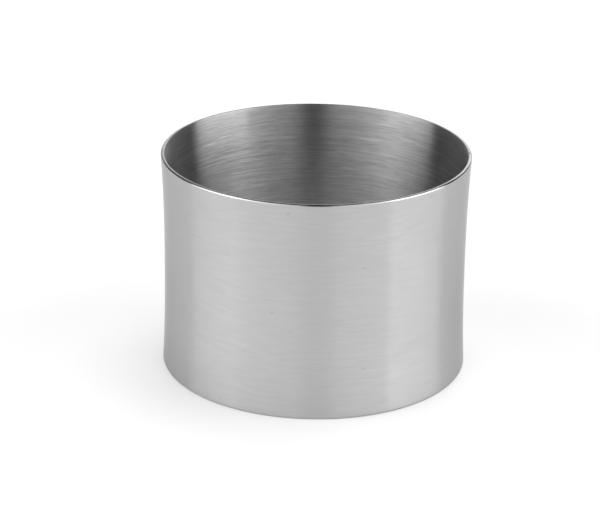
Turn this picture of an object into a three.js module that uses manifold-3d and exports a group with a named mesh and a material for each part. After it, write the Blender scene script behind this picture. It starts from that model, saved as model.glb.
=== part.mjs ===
// Food ring: a bottomless hoop of stainless steel for shaping and plating portions of food.
// A strip of sheet is rolled into a hoop, drawn in at mid-height so that both rims flare,
// butt welded where its two ends meet, dressed flush there and rounded over along both lips.
// Millimetres, +Z up, with the origin at the centre of the circle that the ring stands on.

import * as THREE from "three";
import { mergeVertices } from "three/addons/utils/BufferGeometryUtils.js";
import Module from "manifold-3d";

// Driving dimensions of the hoop
const LIP_DIAMETER = 70; // outside, across either lip, where the hoop is widest
const HEIGHT = 50;
const SHEET_THICKNESS = 0.8;
const WAIST_DEPTH = 0.6; // how far the wall is drawn in at mid-height, measured on the radius
const FLARE_POWER = 2.5; // 2 is an even curve from lip to lip; more keeps the middle straighter

// Rounding of the two lips, which are alike
const LIP_OUTER_RADIUS = 0.4;
const LIP_INNER_RADIUS = 0.15;

// The butt weld, one even bead from lip to lip
const WELD_WIDTH = 1.2;
const WELD_AZIMUTH = 90; // degrees round from the front of the ring, which faces -Y

// Fineness of the facets
const FACETS_ROUND = 96;
const WALL_STEPS = 12;
const OUTER_LIP_STEPS = 4;
const INNER_LIP_STEPS = 3;

const SATIN_STEEL = { color: 0xb9babb, roughness: 0.34, metalness: 1 };
const DRESSED_WELD = { color: 0xb2b2b1, roughness: 0.4, metalness: 1 };

const wasm = await Module();
wasm.setup();

function solidFrom(geometry) {
  const bare = geometry.clone();
  bare.deleteAttribute("normal");
  bare.deleteAttribute("uv");
  const merged = mergeVertices(bare);
  return new wasm.Manifold(
    new wasm.Mesh({
      numProp: 3,
      vertProperties: merged.attributes.position.array,
      triVerts: new Uint32Array(merged.index.array),
    }),
  );
}

function geometryFrom(solid) {
  const { vertProperties, triVerts } = solid.getMesh();
  const geometry = new THREE.BufferGeometry();
  geometry.setAttribute("position", new THREE.BufferAttribute(vertProperties, 3));
  geometry.setIndex(new THREE.BufferAttribute(triVerts, 1));
  geometry.computeVertexNormals();
  return geometry;
}

// Outside radius of the wall at a height: drawn in by the waist halfway up, and widest where the
// rounded corner of each lip begins
function wallRadius(height) {
  const middle = HEIGHT / 2;
  const fromMiddle = Math.abs(height - middle) / (middle - LIP_OUTER_RADIUS);
  return LIP_DIAMETER / 2 - WAIST_DEPTH * (1 - fromMiddle ** FLARE_POWER);
}

// Points of one face of the wall, from one height to another, set in from the outside by an inset
function wallLine(fromHeight, toHeight, inset) {
  const points = [];
  for (let step = 0; step <= WALL_STEPS; step += 1) {
    const height = THREE.MathUtils.lerp(fromHeight, toHeight, step / WALL_STEPS);
    points.push(new THREE.Vector2(wallRadius(height) - inset, height));
  }
  return points;
}

// Points of a lip's rounded corner, a quarter turn on from one angle
function lipCorner(centre, radius, fromAngle, steps) {
  const arc = new THREE.EllipseCurve(centre.x, centre.y, radius, radius, fromAngle, fromAngle + Math.PI / 2);
  return arc.getPoints(steps);
}

// Section through the wall, closed on itself: up the outside, over the top lip, down the inside
// and under the bottom lip. Between its two corners a lip is flat, and the ring stands on that land.
function wallSection() {
  const outerLow = LIP_OUTER_RADIUS;
  const outerHigh = HEIGHT - LIP_OUTER_RADIUS;
  const innerLow = LIP_INNER_RADIUS;
  const innerHigh = HEIGHT - LIP_INNER_RADIUS;
  const outerCorner = (height) => new THREE.Vector2(wallRadius(height) - LIP_OUTER_RADIUS, height);
  const innerCorner = (height) =>
    new THREE.Vector2(wallRadius(height) - SHEET_THICKNESS + LIP_INNER_RADIUS, height);
  const right = 0;
  const up = Math.PI / 2;
  const left = Math.PI;
  const down = (3 * Math.PI) / 2;
  const section = [
    ...wallLine(outerLow, outerHigh, 0),
    ...lipCorner(outerCorner(outerHigh), LIP_OUTER_RADIUS, right, OUTER_LIP_STEPS).slice(1),
    ...lipCorner(innerCorner(innerHigh), LIP_INNER_RADIUS, up, INNER_LIP_STEPS),
    ...wallLine(innerHigh, innerLow, SHEET_THICKNESS).slice(1),
    ...lipCorner(innerCorner(innerLow), LIP_INNER_RADIUS, left, INNER_LIP_STEPS).slice(1),
    ...lipCorner(outerCorner(outerLow), LIP_OUTER_RADIUS, down, OUTER_LIP_STEPS).slice(0, -1),
  ];
  return [...section, section[0]];
}

function closedHoop() {
  const hoop = new THREE.LatheGeometry(wallSection(), FACETS_ROUND);
  hoop.rotateX(Math.PI / 2);
  return solidFrom(hoop);
}

// The space of the butt joint: a slot through one side of the wall, between the strip's two ends.
// It starts on the axis and runs out past the wall and past both lips.
function seamSlot() {
  const slot = new THREE.BoxGeometry(WELD_WIDTH, LIP_DIAMETER, 2 * HEIGHT);
  slot.translate(0, -LIP_DIAMETER / 2, HEIGHT / 2);
  slot.rotateZ(THREE.MathUtils.degToRad(WELD_AZIMUTH));
  return solidFrom(slot);
}

function part(name, solid, finish) {
  const mesh = new THREE.Mesh(geometryFrom(solid), new THREE.MeshStandardMaterial(finish));
  mesh.name = name;
  return mesh;
}

const hoop = closedHoop();
const seam = seamSlot();

const foodRing = new THREE.Group();
foodRing.name = "food_ring";
foodRing.add(part("wall_band", hoop.subtract(seam), SATIN_STEEL));
foodRing.add(part("seam_weld", hoop.intersect(seam), DRESSED_WELD));

export default foodRing;
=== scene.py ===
import math
from functools import partial

import bpy
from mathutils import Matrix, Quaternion, Vector


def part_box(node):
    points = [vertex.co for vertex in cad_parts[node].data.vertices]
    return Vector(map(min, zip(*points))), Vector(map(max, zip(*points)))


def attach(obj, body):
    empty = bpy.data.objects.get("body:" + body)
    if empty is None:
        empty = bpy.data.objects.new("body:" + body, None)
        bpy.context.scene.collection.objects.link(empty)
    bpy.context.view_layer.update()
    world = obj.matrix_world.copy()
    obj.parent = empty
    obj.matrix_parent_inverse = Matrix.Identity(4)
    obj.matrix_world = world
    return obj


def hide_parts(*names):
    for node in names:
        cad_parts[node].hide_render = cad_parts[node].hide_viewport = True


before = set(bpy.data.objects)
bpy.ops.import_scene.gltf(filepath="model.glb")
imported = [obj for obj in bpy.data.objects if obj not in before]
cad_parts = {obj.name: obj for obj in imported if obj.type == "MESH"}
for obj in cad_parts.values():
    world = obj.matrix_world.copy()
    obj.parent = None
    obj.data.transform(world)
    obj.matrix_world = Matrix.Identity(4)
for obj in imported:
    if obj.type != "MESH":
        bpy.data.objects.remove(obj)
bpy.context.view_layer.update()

# The wall band: one strip of stainless sheet, rolled into a hoop and drawn in a little at mid-height.
# Its outside has a fine satin, and its inside is brushed more coarsely, both round the hoop.
# Its two cut edges, the lips, are rounded over, and its two ends stop at the weld.
MM = 0.001
BAND_LOW, BAND_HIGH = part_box("wall_band")
WELD_HALF_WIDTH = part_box("seam_weld")[1].y
LIP_RADIUS = BAND_HIGH.y
BAND_HEIGHT = BAND_HIGH.z - BAND_LOW.z
SHEET_THICKNESS = 0.8 * MM
WAIST_DEPTH = 0.6 * MM
FLARE_POWER = 2.5
LIP_OUTER_RADIUS = 0.4 * MM
LIP_INNER_RADIUS = 0.15 * MM
WELD_HALF_ANGLE = math.asin(WELD_HALF_WIDTH / (LIP_RADIUS - SHEET_THICKNESS / 2))
# A face has the lips' finish where its normal points up or down by the tilt. Where it points to the
# axis by the facing it has the inside's, so that this runs over the lips' inner corners.
LIP_TILT = 0.15
INSIDE_FACING = 0.3
WALL_STEPS = 40
CORNER_STEPS = 7
BAND_STEPS_ROUND = 480
SMOOTH_UP_TO = math.radians(40)


class Wire:
    """An output of a node. Sums on it add Math nodes to the tree that it belongs to."""

    def __init__(self, socket):
        self.socket = socket

    @classmethod
    def of(cls, tree, kind, settings=None, inputs=None, output=0):
        """A new node: its settings are set first, and then its inputs get their values or links."""
        node = tree.nodes.new(kind)
        for name, value in (settings or {}).items():
            setattr(node, name, value)
        for name, value in (inputs or {}).items():
            if isinstance(value, Wire):
                tree.links.new(value.socket, node.inputs[name])
            else:
                node.inputs[name].default_value = value
        return cls(node.outputs[output]) if node.outputs else None

    def other(self, output):
        return Wire(self.socket.node.outputs[output])

    @staticmethod
    def math(operation, *terms):
        tree = next(term.socket.id_data for term in terms if isinstance(term, Wire))
        return Wire.of(tree, "ShaderNodeMath", {"operation": operation}, dict(enumerate(terms)))

    def __add__(self, term):
        return Wire.math("ADD", self, term)

    __radd__ = __add__

    def __sub__(self, term):
        return Wire.math("SUBTRACT", self, term)

    def __rsub__(self, term):
        return Wire.math("SUBTRACT", term, self)

    def __mul__(self, term):
        return Wire.math("MULTIPLY", self, term)

    __rmul__ = __mul__

    def __truediv__(self, term):
        return Wire.math("DIVIDE", self, term)

    def __pow__(self, term):
        return Wire.math("POWER", self, term)

    def __mod__(self, term):
        return Wire.math("MODULO", self, term)

    def __abs__(self):
        return Wire.math("ABSOLUTE", self)

    def __gt__(self, term):
        return Wire.math("GREATER_THAN", self, term)

    def __lt__(self, term):
        return Wire.math("LESS_THAN", self, term)

    def rise(self, low, high, smooth=True):
        """Goes from 0 at low to 1 at high, and stays level beyond them."""
        settings = {"interpolation_type": "SMOOTHSTEP" if smooth else "LINEAR"}
        inputs = {"Value": self, "From Min": low, "From Max": high}
        return Wire.of(self.socket.id_data, "ShaderNodeMapRange", settings, inputs)


def level(node, place):
    """A place brought down to the foot's height, where it tells only the way out from the axis."""
    return node("ShaderNodeVectorMath", {"operation": "MULTIPLY"}, {0: place, 1: (1, 1, 0)})


def rolled_strip_tree():
    """Sweeps the wall's section round the axis: a thin upright rectangle with rounded corners, drawn
    towards the axis most at mid-height. Its faces take one of three finishes by the way they face."""
    tree = bpy.data.node_groups.new("rolled strip", "GeometryNodeTree")
    tree.interface.new_socket("Strip", in_out="OUTPUT", socket_type="NodeSocketGeometry")
    for name in ("Lip Radius", "Height", "Sheet Thickness", "Waist Depth", "Flare Power",
                 "Lip Outer Radius", "Lip Inner Radius", "Lip Tilt", "Inside Facing",
                 "Start Angle", "Sweep Angle"):
        tree.interface.new_socket(name, in_out="INPUT", socket_type="NodeSocketFloat")
    for name in ("Steps Round", "Wall Steps", "Corner Steps"):
        tree.interface.new_socket(name, in_out="INPUT", socket_type="NodeSocketInt")
    for name in ("Outside", "Inside", "Lips"):
        tree.interface.new_socket(name, in_out="INPUT", socket_type="NodeSocketMaterial")
    node = partial(Wire.of, tree)
    size = node("NodeGroupInput").other
    half_height = size("Height") / 2

    rectangle = node("GeometryNodeCurvePrimitiveQuadrilateral", {"mode": "RECTANGLE"},
                     {"Width": size("Sheet Thickness"), "Height": size("Height")})
    is_upright_side = node("GeometryNodeInputIndex") % 2
    stepped = node("GeometryNodeSubdivideCurve", None,
                   {"Curve": rectangle, "Cuts": is_upright_side * size("Wall Steps")})
    place = node("ShaderNodeSeparateXYZ", None, {"Vector": node("GeometryNodeInputPosition")})
    is_corner = abs(place.other("Y")) > half_height - size("Lip Inner Radius")
    is_outer = place.other("X") > 0
    corner_radius = is_outer * size("Lip Outer Radius") + (1 - is_outer) * size("Lip Inner Radius")
    section = node("GeometryNodeFilletCurve", {"mode": "POLY"}, {
        "Curve": stepped, "Radius": is_corner * corner_radius, "Count": size("Corner Steps")})
    from_middle = abs(place.other("Y")) / (half_height - size("Lip Outer Radius"))
    drawn_in = size("Waist Depth") * (1 - from_middle ** size("Flare Power"))
    section = node("GeometryNodeSetPosition", None, {
        "Geometry": section, "Offset": node("ShaderNodeCombineXYZ", None, {"X": drawn_in * -1})})

    way_round = node("GeometryNodeCurveArc", {"mode": "RADIUS"}, {
        "Resolution": size("Steps Round"),
        "Radius": size("Lip Radius") - size("Sheet Thickness") / 2,
        "Start Angle": size("Start Angle"),
        "Sweep Angle": size("Sweep Angle")})
    way_round = node("GeometryNodeSetPosition", None, {
        "Geometry": way_round, "Offset": node("ShaderNodeCombineXYZ", None, {"Z": half_height})})
    strip = node("GeometryNodeCurveToMesh", None,
                 {"Curve": way_round, "Profile Curve": section, "Fill Caps": True})
    strip = node("GeometryNodeSetShadeSmooth", None, {"Geometry": strip})
    strip = node("GeometryNodeRealizeInstances", None, {"Geometry": strip})

    normal = node("GeometryNodeInputNormal")
    from_axis = level(node, node("GeometryNodeInputPosition"))
    way_out = node("ShaderNodeVectorMath", {"operation": "NORMALIZE"}, {0: from_axis})
    outward = node("ShaderNodeVectorMath", {"operation": "DOT_PRODUCT"},
                   {0: normal, 1: way_out}, "Value")
    tilt = abs(node("ShaderNodeSeparateXYZ", None, {"Vector": normal}, "Z"))
    is_inside = outward < size("Inside Facing") * -1
    faces_of = {"Outside": outward > 0, "Lips": tilt > size("Lip Tilt"), "Inside": is_inside}
    for finish, faces in faces_of.items():
        strip = node("GeometryNodeSetMaterial", None,
                     {"Geometry": strip, "Selection": faces, "Material": size(finish)})
    node("NodeGroupOutput", None, {"Strip": strip})
    return tree


ROLLED_STRIP = rolled_strip_tree()


def strip_piece(name, sizes):
    """A plain mesh of the rolled strip with these sizes and finishes."""
    maker = bpy.data.objects.new(name + ".maker", bpy.data.meshes.new(name + ".maker"))
    bpy.context.scene.collection.objects.link(maker)
    modifier = maker.modifiers.new("rolled strip", "NODES")
    modifier.node_group = ROLLED_STRIP
    for item in ROLLED_STRIP.interface.items_tree:
        if item.in_out == "INPUT":
            modifier[item.identifier] = sizes[item.name]
    evaluated = maker.evaluated_get(bpy.context.evaluated_depsgraph_get())
    mesh = bpy.data.meshes.new_from_object(evaluated)
    mesh.name = name
    mesh.set_sharp_from_angle(angle=SMOOTH_UP_TO)
    bpy.data.objects.remove(maker)
    piece = bpy.data.objects.new(name, mesh)
    bpy.context.scene.collection.objects.link(piece)
    return piece


def blank_finish(name):
    """An empty material, and what adds nodes to it."""
    material = bpy.data.materials.new(name)
    material.use_nodes = True
    material.node_tree.nodes.clear()
    return material, partial(Wire.of, material.node_tree)


NOISE_MIDDLE = 0.5
NOISE_SPREAD = 0.25


def centred(noise):
    """Noise about 0 that mostly stays between -1 and 1."""
    return (noise - NOISE_MIDDLE) / NOISE_SPREAD


LINE_BREAK_UP = 0.6


def brush_lines(node, spacing, length, detail):
    """Lines round the hoop, from about -1 to 1 across them: noise drawn out along the brushing.
    On a wall they lie one above the other, and on a lip one inside the other."""
    place = node("ShaderNodeTexCoord", None, None, "Object")
    drawn_out = node("ShaderNodeVectorMath", {"operation": "MULTIPLY"},
                     {0: place, 1: (1 / length, 1 / length, 1 / spacing)})
    from_axis = node("ShaderNodeVectorMath", {"operation": "LENGTH"}, {0: level(node, place)}, "Value")
    return centred(node("ShaderNodeTexNoise", {"noise_dimensions": "4D"}, {
        "Vector": drawn_out, "W": from_axis / spacing, "Scale": 1.0,
        "Detail": detail, "Roughness": LINE_BREAK_UP}))


CLOUD_DETAIL = 2.0


def clouds(node, size):
    """Soft patches of about this size, from about -1 to 1."""
    place = node("ShaderNodeTexCoord", None, None, "Object")
    return centred(node("ShaderNodeTexNoise", None, {
        "Vector": place, "Scale": 1 / size, "Detail": CLOUD_DETAIL}))


PIT_CORE = 0.4


def pits(node, spacing, radius):
    """Specks that the brushing has left, 1 inside them and 0 between them."""
    place = node("ShaderNodeTexCoord", None, None, "Object")
    away = node("ShaderNodeTexVoronoi", None, {"Vector": place, "Scale": 1 / spacing}, "Distance")
    return 1 - away.rise(PIT_CORE * radius / spacing, radius / spacing)


def grey(tone):
    return (tone, tone, tone, 1)


def mixed(node, share, first, second):
    """A colour that goes from the first to the second as the share goes from 0 to 1.
    A Mix node has sockets of one name for numbers, vectors and colours, so a colour's go by number."""
    return node("ShaderNodeMix", {"data_type": "RGBA"}, {0: share, 6: first, 7: second}, 2)


def undressed(node):
    """The sheet's own metal: no darker, no rougher and with no tint."""
    return 1, 0, grey(1)


SPREAD_ACROSS = 1.0
QUARTER_TURN = 0.25


def steel(node, tone, tint, edge, roughness, relief, depth):
    """Brushed steel of a grey tone, darker by its edge tone where it is seen aslant.
    Its shine spreads across the brushing."""
    colour = mixed(node, tone, grey(0), tint)
    bump = node("ShaderNodeBump", None, {"Strength": 1.0, "Distance": depth, "Height": relief})
    shader = node("ShaderNodeBsdfPrincipled", None, {
        "Base Color": colour, "Metallic": 1.0, "Roughness": roughness,
        "Specular Tint": grey(edge), "Anisotropic": SPREAD_ACROSS,
        "Anisotropic Rotation": QUARTER_TURN, "Normal": bump})
    node("ShaderNodeOutputMaterial", None, {"Surface": shader})


OUTSIDE_TONE = 0.472
OUTSIDE_EDGE = 0.7
OUTSIDE_ROUGHNESS = 0.21
SATIN_SPACING = 0.4 * MM
SATIN_LENGTH = 4.5 * MM
SATIN_DETAIL = 1.0
SATIN_DEPTH = 0.0012 * MM
SATIN_CONTRAST = 0.033
SATIN_UNEVENNESS = 0.005
OUTSIDE_PATCH_SIZE = 15 * MM
OUTSIDE_PATCH_CONTRAST = 0.01
PIT_SPACING = 4.5 * MM
PIT_RADIUS = 0.26 * MM
PIT_CONTRAST = 0.3


def satin_outside(name, dressing=undressed):
    """A fine, even satin with a few pits in it."""
    material, node = blank_finish(name)
    darker, rougher, tint = dressing(node)
    lines = brush_lines(node, SATIN_SPACING, SATIN_LENGTH, SATIN_DETAIL)
    patches = clouds(node, OUTSIDE_PATCH_SIZE) * OUTSIDE_PATCH_CONTRAST
    specks = pits(node, PIT_SPACING, PIT_RADIUS) * PIT_CONTRAST
    tone = OUTSIDE_TONE * darker * (1 + lines * SATIN_CONTRAST + patches) * (1 - specks)
    roughness = OUTSIDE_ROUGHNESS + rougher + lines * SATIN_UNEVENNESS + patches
    steel(node, tone, tint, OUTSIDE_EDGE, roughness, lines, SATIN_DEPTH)
    return material


INSIDE_TONE = 0.4
INSIDE_EDGE = 1.0
INSIDE_ROUGHNESS = 0.36
STROKE_SPACING = 0.42 * MM
STROKE_LENGTH = 20 * MM
STROKE_DETAIL = 2.0
STROKE_CONTRAST = 0.17
STROKE_UNEVENNESS = 0.03
GRAIN_SPACING = 0.35 * MM
GRAIN_LENGTH = 3 * MM
GRAIN_DETAIL = 1.0
GRAIN_CONTRAST = 0.115
SCRATCH_SPACING = 0.3 * MM
SCRATCH_LENGTH = 9 * MM
SCRATCH_DETAIL = 0.0
SCRATCH_FROM = 0.8
SCRATCH_FULL = 1.3
SCRATCH_CONTRAST = 0.3
INSIDE_RELIEF = 0.064 * MM
INSIDE_PATCH_SIZE = 12 * MM
INSIDE_PATCH_CONTRAST = 0.03


def brushed_inside(name, dressing=undressed):
    """Coarser strokes, long and uneven, with grain between them and a few bright scratches."""
    material, node = blank_finish(name)
    darker, rougher, tint = dressing(node)
    strokes = brush_lines(node, STROKE_SPACING, STROKE_LENGTH, STROKE_DETAIL)
    grain = brush_lines(node, GRAIN_SPACING, GRAIN_LENGTH, GRAIN_DETAIL)
    scratches = brush_lines(node, SCRATCH_SPACING, SCRATCH_LENGTH, SCRATCH_DETAIL)
    scratches = scratches.rise(SCRATCH_FROM, SCRATCH_FULL)
    patches = clouds(node, INSIDE_PATCH_SIZE) * INSIDE_PATCH_CONTRAST
    pattern = strokes * STROKE_CONTRAST + grain * GRAIN_CONTRAST
    tone = INSIDE_TONE * darker * (1 + pattern + scratches * SCRATCH_CONTRAST + patches)
    roughness = INSIDE_ROUGHNESS + rougher + strokes * STROKE_UNEVENNESS + patches
    steel(node, tone, tint, INSIDE_EDGE, roughness, pattern, INSIDE_RELIEF)
    return material


LIP_TONE = 0.48
LIP_EDGE = 0.6
LIP_ROUGHNESS = 0.2
RUB_SPACING = 0.12 * MM
RUB_LENGTH = 10 * MM
RUB_DETAIL = 2.0
RUB_DEPTH = 0.002 * MM
RUB_CONTRAST = 0.04
RUB_UNEVENNESS = 0.02


def rounded_lips(name, dressing=undressed):
    """Rubbed smooth along the edge."""
    material, node = blank_finish(name)
    darker, rougher, tint = dressing(node)
    lines = brush_lines(node, RUB_SPACING, RUB_LENGTH, RUB_DETAIL)
    tone = LIP_TONE * darker * (1 + lines * RUB_CONTRAST)
    roughness = LIP_ROUGHNESS + rougher + lines * RUB_UNEVENNESS
    steel(node, tone, tint, LIP_EDGE, roughness, lines, RUB_DEPTH)
    return material


BAND_SIZES = {
    "Lip Radius": LIP_RADIUS,
    "Height": BAND_HEIGHT,
    "Sheet Thickness": SHEET_THICKNESS,
    "Waist Depth": WAIST_DEPTH,
    "Flare Power": FLARE_POWER,
    "Lip Outer Radius": LIP_OUTER_RADIUS,
    "Lip Inner Radius": LIP_INNER_RADIUS,
    "Lip Tilt": LIP_TILT,
    "Inside Facing": INSIDE_FACING,
    "Start Angle": WELD_HALF_ANGLE,
    "Sweep Angle": math.tau - 2 * WELD_HALF_ANGLE,
    "Steps Round": BAND_STEPS_ROUND,
    "Wall Steps": WALL_STEPS,
    "Corner Steps": CORNER_STEPS,
    "Outside": satin_outside("satin outside"),
    "Inside": brushed_inside("brushed inside"),
    "Lips": rounded_lips("rounded lips"),
}
band = strip_piece("rolled_wall_band", BAND_SIZES)
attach(band, "root")
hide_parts("wall_band")

# The weld: the seam that closes the hoop, where the strip's two ends are fused together.
# It is ground flush inside, outside and on both lips, and then brushed over with the sheet.
WELD_STEPS_ROUND = 5
WELD_CORE = 0.2
WELD_DARKER = 0.08
WELD_ROUGHER = 0.06
STRAW_TINT = (1.0, 0.975, 0.93, 1)


def dressed(node):
    """The weld's metal: a little darker and rougher than the sheet, with a faint straw tint,
    all of which fade from the middle of the seam to its edges."""
    place = node("ShaderNodeTexCoord", None, None, "Object")
    across = abs(node("ShaderNodeSeparateXYZ", None, {"Vector": place}, "Y"))
    middle = 1 - across.rise(WELD_CORE * WELD_HALF_WIDTH, WELD_HALF_WIDTH)
    tint = mixed(node, middle, grey(1), STRAW_TINT)
    return 1 - middle * WELD_DARKER, middle * WELD_ROUGHER, tint


weld = strip_piece("dressed_seam_weld", BAND_SIZES | {
    "Start Angle": -WELD_HALF_ANGLE,
    "Sweep Angle": 2 * WELD_HALF_ANGLE,
    "Steps Round": WELD_STEPS_ROUND,
    "Outside": satin_outside("dressed outside", dressed),
    "Inside": brushed_inside("dressed inside", dressed),
    "Lips": rounded_lips("dressed lips", dressed),
})
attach(weld, "root")
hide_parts("seam_weld")

# The floor: a plain pale sheet under the ring, wide enough to fill the view.
# It is lifted to white for the camera and for reflections, less where the ring keeps the light off it.
FLOOR_REACH = 3.0
FLOOR_TONE = 0.45
FLOOR_LIFT = 0.485
SHADE_REACH = 60 * MM
SHADE_TO = 0.65
SHADE_SAMPLES = 8
floor_mesh = bpy.data.meshes.new("floor")
floor_mesh.from_pydata(
    [(-FLOOR_REACH, -FLOOR_REACH, 0), (FLOOR_REACH, -FLOOR_REACH, 0),
     (FLOOR_REACH, FLOOR_REACH, 0), (-FLOOR_REACH, FLOOR_REACH, 0)], [], [(0, 1, 2, 3)])
floor = bpy.data.objects.new("floor", floor_mesh)
bpy.context.scene.collection.objects.link(floor)
pale, node = blank_finish("pale floor")
by_camera = node("ShaderNodeLightPath", None, None, "Is Camera Ray")
seen = by_camera + by_camera.other("Is Glossy Ray") + by_camera.other("Is Transmission Ray")
openness = node("ShaderNodeAmbientOcclusion", {"samples": SHADE_SAMPLES},
                {"Distance": SHADE_REACH}, "AO")
diffuse = node("ShaderNodeBsdfDiffuse", None, {"Color": grey(FLOOR_TONE)})
unshaded = openness.rise(0, SHADE_TO)
lift = node("ShaderNodeEmission", None, {"Strength": FLOOR_LIFT * seen * unshaded})
both = node("ShaderNodeAddShader", None, {0: diffuse, 1: lift})
node("ShaderNodeOutputMaterial", None, {"Surface": both})
pale.cycles.emission_sampling = "NONE"
floor_mesh.materials.append(pale)

# The studio: a tall soft panel at each side, and dimmer walls in front with a gap for the camera.
# A window behind catches the lips, above a pale backdrop, and a low wall closes the rest of the view.
# Headings are in degrees round from the front, and heights in degrees above the floor.
PANEL_FROM = 56
PANEL_TO_LEFT = 100
PANEL_TO_RIGHT = 105
PANEL_TOP = 55
PANEL_LEVEL_LEFT = 3.25
PANEL_LEVEL_RIGHT = 4.4
DIMMER_FROM = 30
DIMMER_LEVEL_RIGHT = 2.3
GAP_LEFT = 8
GAP_RIGHT = 12
GAP_EDGE = 6
FRONT_LEVEL_AT_GAP = 0.88
FRONT_LEVEL_AT_PANEL = 2.4
FRONT_RIGHT_SHARE = 0.88
WINDOW_FROM = 158
WINDOW_LOW = 12
WINDOW_HIGH = 30
WINDOW_LEVEL_LEFT = 0.25
WINDOW_LEVEL_RIGHT = 2.6
WINDOW_SIDE_EDGE = 0.4
BACKDROP_FROM = 145
BACKDROP_TOP = 12
BACKDROP_LEVEL = 1.0
LOW_WALL_TOP = 3
LOW_WALL_LEVEL = 1.2
ROOM_LEVEL = 0.02
SOFT_EDGE = 2
SIDE_EDGE = 0.05
IN_DEGREES = math.degrees(1)


def after(angle, start, edge=SOFT_EDGE):
    """0 before an angle and 1 beyond it, with a soft edge."""
    return angle.rise(start - edge, start + edge)


def up_to(angle, end, edge=SOFT_EDGE):
    """1 before an angle and 0 beyond it, with a soft edge."""
    return 1 - after(angle, end, edge)


def between(angle, start, end):
    """1 from one angle to another and 0 elsewhere, with soft edges."""
    return after(angle, start) * up_to(angle, end)


world = bpy.data.worlds.new("studio")
bpy.context.scene.world = world
world.use_nodes = True
world.node_tree.nodes.clear()
node = partial(Wire.of, world.node_tree)
direction = node("ShaderNodeTexCoord", None, None, "Generated")
along = node("ShaderNodeSeparateXYZ", None, {"Vector": direction}).other
heading = abs(Wire.math("ARCTAN2", along("X"), along("Y") * -1)) * IN_DEGREES
height = Wire.math("ARCSINE", along("Z")) * IN_DEGREES
is_right = along("X").rise(-SIDE_EDGE, SIDE_EDGE)


def by_side(left, right):
    """One value at the left and another at the right."""
    return left * (1 - is_right) + right * is_right


below_top = up_to(height, PANEL_TOP)
right_level = PANEL_LEVEL_RIGHT + (DIMMER_LEVEL_RIGHT - PANEL_LEVEL_RIGHT) * after(height, DIMMER_FROM)
panel_end = by_side(PANEL_TO_LEFT, PANEL_TO_RIGHT)
panels = by_side(PANEL_LEVEL_LEFT, right_level) * below_top * between(heading, PANEL_FROM, panel_end)
front_rise = heading.rise(GAP_LEFT, PANEL_FROM, False)
front_level = FRONT_LEVEL_AT_GAP + (FRONT_LEVEL_AT_PANEL - FRONT_LEVEL_AT_GAP) * front_rise
beside_gap = after(heading, by_side(GAP_LEFT, GAP_RIGHT), GAP_EDGE) * by_side(1, FRONT_RIGHT_SHARE)
front = front_level * beside_gap * below_top * up_to(heading, PANEL_FROM)
window_right = along("X").rise(-WINDOW_SIDE_EDGE, WINDOW_SIDE_EDGE)
window_level = WINDOW_LEVEL_LEFT + (WINDOW_LEVEL_RIGHT - WINDOW_LEVEL_LEFT) * window_right
window = window_level * after(heading, WINDOW_FROM) * between(height, WINDOW_LOW, WINDOW_HIGH)
backdrop = BACKDROP_LEVEL * after(heading, BACKDROP_FROM) * between(height, LOW_WALL_TOP, BACKDROP_TOP)
between_panels = after(heading, panel_end) + up_to(heading, GAP_LEFT, GAP_EDGE)
low_wall = LOW_WALL_LEVEL * between_panels * up_to(height, LOW_WALL_TOP)
background = node("ShaderNodeBackground", None, {
    "Color": grey(1), "Strength": ROOM_LEVEL + panels + front + window + backdrop + low_wall})
node("ShaderNodeOutputWorld", None, {"Surface": background})

# The key lamp: one large soft lamp high behind the ring, which lights the floor.
# The steel doesn't mirror it, so that the ring shows only the studio and the floor.
KEY_HEADING = 150
KEY_HEIGHT = 70
KEY_DISTANCE = 2.4
KEY_SIZE = 1.4
KEY_POWER = 32
lamp = bpy.data.lights.new("key lamp", "AREA")
lamp.shape = "SQUARE"
lamp.size = KEY_SIZE
lamp.energy = KEY_POWER
key = bpy.data.objects.new("key lamp", lamp)
bpy.context.scene.collection.objects.link(key)
turn = math.radians(KEY_HEADING)
rise = math.radians(KEY_HEIGHT)
key.location = KEY_DISTANCE * Vector((
    math.cos(rise) * math.sin(turn), -math.cos(rise) * math.cos(turn), math.sin(rise)))
key.rotation_euler = (-key.location).to_track_quat("-Z", "Y").to_euler()
key.visible_camera = False
key.visible_glossy = False

# The camera: a long lens in front of the ring, which looks down at it a little.
# It aims a little left of the ring's middle and is rolled by less than a degree.
CAMERA_DISTANCE = 490 * MM
CAMERA_ELEVATION = 21.865
CAMERA_AIM = Vector((-3.39 * MM, 0, 24.55 * MM))
CAMERA_ROLL = 0.72
LENS_FOCAL = 128.09
SENSOR_WIDTH = 36
camera_data = bpy.data.cameras.new("camera")
camera_data.lens = LENS_FOCAL
camera_data.sensor_width = SENSOR_WIDTH
camera = bpy.data.objects.new("camera", camera_data)
bpy.context.scene.collection.objects.link(camera)
elevation = math.radians(CAMERA_ELEVATION)
centre = Vector((0, 0, BAND_HEIGHT / 2))
camera.location = centre + CAMERA_DISTANCE * Vector((0, -math.cos(elevation), math.sin(elevation)))
camera.rotation_mode = "QUATERNION"
facing = (CAMERA_AIM - camera.location).to_track_quat("-Z", "Y")
camera.rotation_quaternion = facing @ Quaternion((0, 0, 1), math.radians(CAMERA_ROLL))
bpy.context.scene.camera = camera

# The picture: tones are shown as they are, with no film look over them.
bpy.context.scene.view_settings.view_transform = "Standard"
